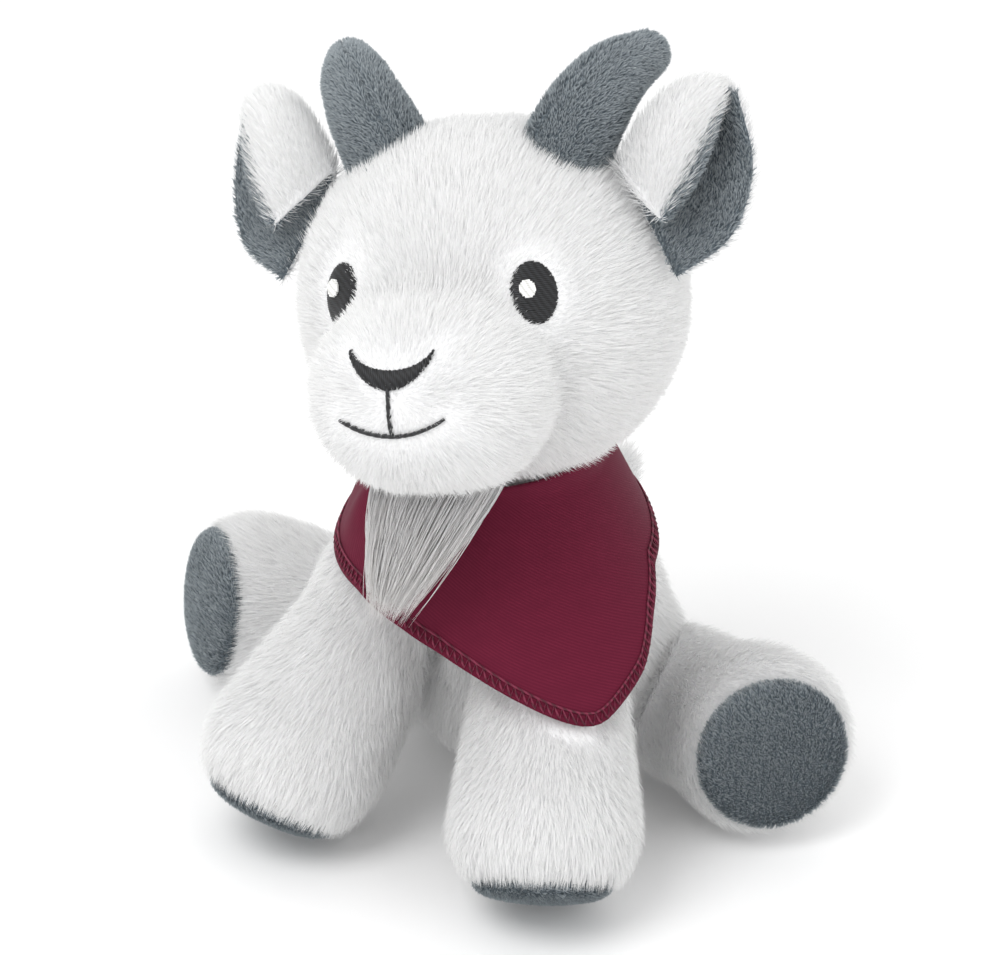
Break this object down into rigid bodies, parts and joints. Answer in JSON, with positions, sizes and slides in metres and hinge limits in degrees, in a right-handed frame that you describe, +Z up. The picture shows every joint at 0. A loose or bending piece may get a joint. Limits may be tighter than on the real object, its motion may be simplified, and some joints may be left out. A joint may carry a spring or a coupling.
{
  "type": "plush goat toy",
  "caption": "Seated plush goat with stuffed limbs, curved horns, cupped ears, embroidered face, a long chin tuft and a knotted neck kerchief.",
  "frame": {"origin": "on the floor under the middle of the whole toy's box", "axes": "+Z up, the toy faces -Y, its own left side is +X"},
  "size_m": [0.1722, 0.1298, 0.1781],
  "materials": {
    "white_plush": "short brushed polyester faux fur",
    "long_white_pile": "long silky polyester pile",
    "grey_plush": "short napped polyester plush",
    "bandana_cloth": "soft burgundy knit cloth, matt",
    "bandana_thread": "burgundy overlock thread",
    "black_thread": "satin-stitched black embroidery thread",
    "white_thread": "satin-stitched white embroidery thread",
    "seam_tape": "turned-in seam edge",
    "pellet_bag": "woven bag of plastic pellets",
    "polyester_fill": "loose polyester fibre fill"
  },
  "bodies": {
    "torso": {"torso_cover": "white_plush", "torso_stuffing": "polyester_fill", "pellet_bag": "pellet_bag", "bandana_cloth": "bandana_cloth", "bandana_hem": "bandana_thread", "bandana_knot": "bandana_cloth"},
    "neck": {"neck_seam": "seam_tape"},
    "head": {"head_cover": "white_plush", "head_stuffing": "polyester_fill", "muzzle_cover": "white_plush", "muzzle_stuffing": "polyester_fill", "beard": "long_white_pile", "nose": "black_thread", "philtrum": "black_thread", "mouth": "black_thread", "eye_left": "black_thread", "eye_right": "black_thread", "eye_highlight_left": "white_thread", "eye_highlight_right": "white_thread", "horn_left_cover": "grey_plush", "horn_left_stuffing": "polyester_fill", "horn_right_cover": "grey_plush", "horn_right_stuffing": "polyester_fill"},
    "ear_left": {"ear_left_back": "white_plush", "ear_left_lining": "grey_plush"},
    "ear_right": {"ear_right_back": "white_plush", "ear_right_lining": "grey_plush"},
    "front_leg_left": {"front_leg_left_cover": "white_plush", "front_leg_left_stuffing": "polyester_fill", "front_leg_left_sole": "grey_plush"},
    "front_leg_right": {"front_leg_right_cover": "white_plush", "front_leg_right_stuffing": "polyester_fill", "front_leg_right_sole": "grey_plush"},
    "hind_leg_left": {"hind_leg_left_cover": "white_plush", "hind_leg_left_stuffing": "polyester_fill", "hind_leg_left_sole": "grey_plush"},
    "hind_leg_right": {"hind_leg_right_cover": "white_plush", "hind_leg_right_stuffing": "polyester_fill", "hind_leg_right_sole": "grey_plush"},
    "tail": {"tail_cover": "white_plush", "tail_stuffing": "polyester_fill"}
  },
  "joints": [
    {"name": "head_turn", "type": "hinge", "parent": "torso", "child": "neck", "pos_m": [0.00675, 0.00002, 0.07], "axis": [0, 0, 1], "range_deg": [-20, 20], "stiffness_Nm_per_rad": 0.6},
    {"name": "head_nod", "type": "hinge", "parent": "neck", "child": "head", "pos_m": [0.00675, 0.00002, 0.07], "axis": [-1, 0, 0], "range_deg": [0, 10], "stiffness_Nm_per_rad": 0.9},
    {"name": "front_leg_left_lift", "type": "hinge", "parent": "torso", "child": "front_leg_left", "pos_m": [0.02425, -0.00698, 0.056], "axis": [-1, 0, 0], "range_deg": [0, 17], "stiffness_Nm_per_rad": 0.8, "deforming": ["bandana_cloth", "bandana_hem"]},
    {"name": "front_leg_right_lift", "type": "hinge", "parent": "torso", "child": "front_leg_right", "pos_m": [-0.01075, -0.00698, 0.056], "axis": [-1, 0, 0], "range_deg": [0, 17], "stiffness_Nm_per_rad": 0.8},
    {"name": "hind_leg_left_splay", "type": "hinge", "parent": "torso", "child": "hind_leg_left", "pos_m": [0.03575, 0.02501, 0.0195], "axis": [0, 0, 1], "range_deg": [0, 25], "stiffness_Nm_per_rad": 0.5},
    {"name": "hind_leg_right_splay", "type": "hinge", "parent": "torso", "child": "hind_leg_right", "pos_m": [-0.02225, 0.02501, 0.0195], "axis": [0, 0, -1], "range_deg": [0, 25], "stiffness_Nm_per_rad": 0.5},
    {"name": "ear_left_flop", "type": "hinge", "parent": "head", "child": "ear_left", "pos_m": [0.04067, 0.00223, 0.14484], "axis": [0.4322, 0.6656, -0.6084], "range_deg": [0, 15], "stiffness_Nm_per_rad": 0.01},
    {"name": "ear_right_flop", "type": "hinge", "parent": "head", "child": "ear_right", "pos_m": [-0.03131, -0.00967, 0.13369], "axis": [0.4201, -0.5247, 0.7404], "range_deg": [0, 15], "stiffness_Nm_per_rad": 0.01},
    {"name": "tail_wag", "type": "hinge", "parent": "torso", "child": "tail", "pos_m": [0.00675, 0.04716, 0.04602], "axis": [0, 0, 1], "range_deg": [-20, 20], "stiffness_Nm_per_rad": 0.01}
  ]
}
